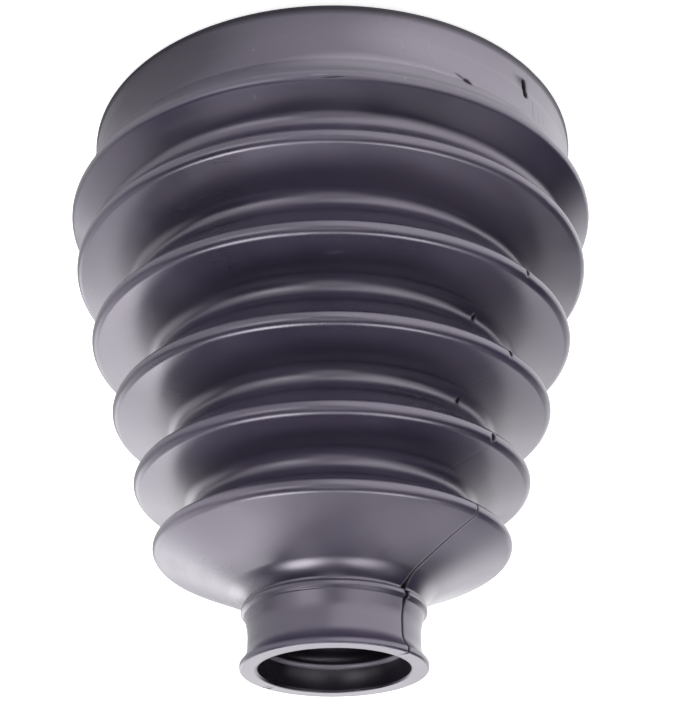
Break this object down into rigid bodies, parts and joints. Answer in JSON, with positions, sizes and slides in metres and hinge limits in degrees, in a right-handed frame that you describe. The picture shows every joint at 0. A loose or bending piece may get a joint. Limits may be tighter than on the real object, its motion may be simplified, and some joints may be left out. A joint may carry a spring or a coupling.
{
  "type": "rubber bellows boot",
  "caption": "Tapered moulded rubber bellows boot with six folds, a wide clamp collar and a narrow clamp neck, for sealing a constant-velocity joint.",
  "frame": {"origin": "middle of the wide rim's plane, on the axis of the boot", "axes": "+Z along the axis from the wide rim towards the narrow neck"},
  "size_m": [0.0966, 0.0966, 0.1006],
  "materials": {
    "rubber": "moulded black rubber, satin"
  },
  "bodies": {
    "root": {"boot": "rubber"}
  },
  "joints": []
}
